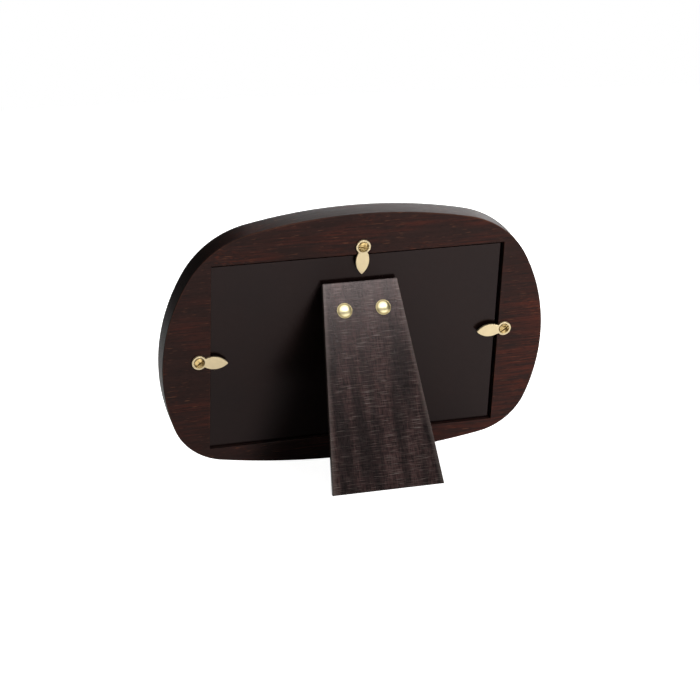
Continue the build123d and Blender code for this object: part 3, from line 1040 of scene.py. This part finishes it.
def pale_backdrop():
    """White backdrop, lit evenly."""
    material, add = new_material("backdrop_pale")
    light = add("ShaderNodeEmission", {"Color": white, "Strength": 1.0})
    add("ShaderNodeOutputMaterial", {"Surface": light})
    return material


def graduated_panel():
    """Diffusing panel that is bright above and dim below."""
    material, add = new_material("panel_graduated")
    place = add("ShaderNodeTexCoord", output="Object")
    height = add("ShaderNodeSeparateXYZ", {"Vector": place}, "Y")
    glow = add(
        "ShaderNodeMapRange",
        {"Value": height, "From Min": -0.145, "From Max": -0.095, "To Min": 0.32, "To Max": 2.4},
        interpolation_type="SMOOTHSTEP")
    light = add("ShaderNodeEmission", {"Color": white, "Strength": glow})
    add("ShaderNodeOutputMaterial", {"Surface": light})
    return material


def hide_from(item, *rays):
    """Hides an object from some kinds of rays."""
    for kind in rays:
        setattr(item, "visible_" + kind, False)


def staged(name, material, *hidden_from):
    """Names and finishes the object that was just added, as a part of the stage."""
    item = bpy.context.object
    item.name = name
    dress(item.data, material)
    hide_from(item, *hidden_from)


def softbox(name, place, width, height, power, *hidden_from, aim=light_aim):
    """Rectangular soft light that faces a point and isn't seen itself."""
    light = bpy.data.lights.new(name, "AREA")
    light.shape = "RECTANGLE"
    light.size = width
    light.size_y = height
    light.energy = power
    box = new_object(name, light)
    box.location = place
    box.rotation_euler = (Vector(aim) - Vector(place)).to_track_quat("-Z", "Y").to_euler()
    hide_from(box, "camera", *hidden_from)


class OVALFRAME_OT_stage(bpy.types.Operator):
    """Sets up the camera, the floor, the backdrop and the lights"""

    bl_idname = "oval_frame.stage"
    bl_label = "Stage"

    def execute(self, context):
        scene = context.scene
        scene.view_settings.view_transform = "Standard"
        place_camera(scene)

        # The frame mirrors a floor with the leg's shadow painted into its glow, and stands on a plain
        # white one
        disc = {"vertices": 64, "radius": floor_radius, "fill_type": "NGON"}
        bpy.ops.mesh.primitive_circle_add(**disc)
        staged("floor", shaded_floor(), "diffuse", "camera")
        bpy.ops.mesh.primitive_circle_add(**disc, location=(0, 0, floor_lift))
        staged("white_floor", white_floor(), "diffuse", "glossy", "shadow")
        bpy.ops.mesh.primitive_uv_sphere_add(radius=backdrop_radius)
        staged("backdrop", pale_backdrop(), "diffuse", "glossy", "transmission", "shadow")
        facing = (Vector(light_aim) - panel_place).to_track_quat("-Z", "Y").to_euler()
        bpy.ops.mesh.primitive_plane_add(size=1.0, location=panel_place, rotation=facing)
        context.object.data.transform(Matrix.Diagonal((*panel_size, 1.0, 1.0)))
        staged("rear_panel", graduated_panel(), "camera", "diffuse")

        world = bpy.data.worlds.new("studio")
        world.use_nodes = True
        background = world.node_tree.nodes["Background"]
        background.inputs["Color"].default_value = white
        background.inputs["Strength"].default_value = 0.05
        scene.world = world

        # The key gives the leg its shadow on the board, and the strip lights the leg's top
        softbox("overhead", (-0.1, 0.0, 1.3), 1.6, 1.2, 4.0, aim=(-0.1, 0.0, 0))
        softbox("leg_strip", (-0.35, 1.20, 0.91), 1.2, 0.09, 6.0, "diffuse")
        softbox("left_rim", (0.75, 0.75, 0.5), 0.25, 0.6, 1.0, "diffuse")
        softbox("key_right", (-0.45, 0.95, 0.28), 0.25, 0.25, 10.0, "glossy")
        softbox("right_side", (-1.0, -0.5, 0.8), 0.7, 0.9, 6.0)
        softbox("front_fill", (-0.55, -0.95, 0.65), 0.9, 0.9, 7.0)
        return {"FINISHED"}


class OVALFRAME_PT_panel(bpy.types.Panel):
    """Lists the pieces of the frame, with their sizes and colours, in the sidebar"""

    bl_label = "Oval Frame"
    bl_idname = "OVALFRAME_PT_panel"
    bl_space_type = "VIEW_3D"
    bl_region_type = "UI"
    bl_category = "Oval Frame"

    def draw(self, context):
        for operator in operators:
            self.layout.operator(operator.bl_idname)
        for group in (context.scene.oval_sizes, context.scene.oval_colours):
            for name in type(group).__annotations__:
                self.layout.prop(group, name)


operators = (
    OVALFRAME_OT_stage, OVALFRAME_OT_moulding, OVALFRAME_OT_rebate, OVALFRAME_OT_leg,
    OVALFRAME_OT_rivets, OVALFRAME_OT_buttons, OVALFRAME_OT_screws)
classes = (OVALFRAME_PG_sizes, OVALFRAME_PG_colours, *operators, OVALFRAME_PT_panel)


def register():
    for item in classes:
        bpy.utils.register_class(item)
    bpy.types.Scene.oval_sizes = bpy.props.PointerProperty(type=OVALFRAME_PG_sizes)
    bpy.types.Scene.oval_colours = bpy.props.PointerProperty(type=OVALFRAME_PG_colours)


def unregister():
    del bpy.types.Scene.oval_colours
    del bpy.types.Scene.oval_sizes
    for item in reversed(classes):
        bpy.utils.unregister_class(item)


def main():
    """Registers the add-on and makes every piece."""
    register()
    bpy.ops.oval_frame.stage()
    bpy.ops.oval_frame.moulding()
    bpy.ops.oval_frame.rebate()
    bpy.ops.oval_frame.leg()
    bpy.ops.oval_frame.rivets()
    bpy.ops.oval_frame.buttons()
    bpy.ops.oval_frame.screws()


if __name__ == "__main__":
    main()
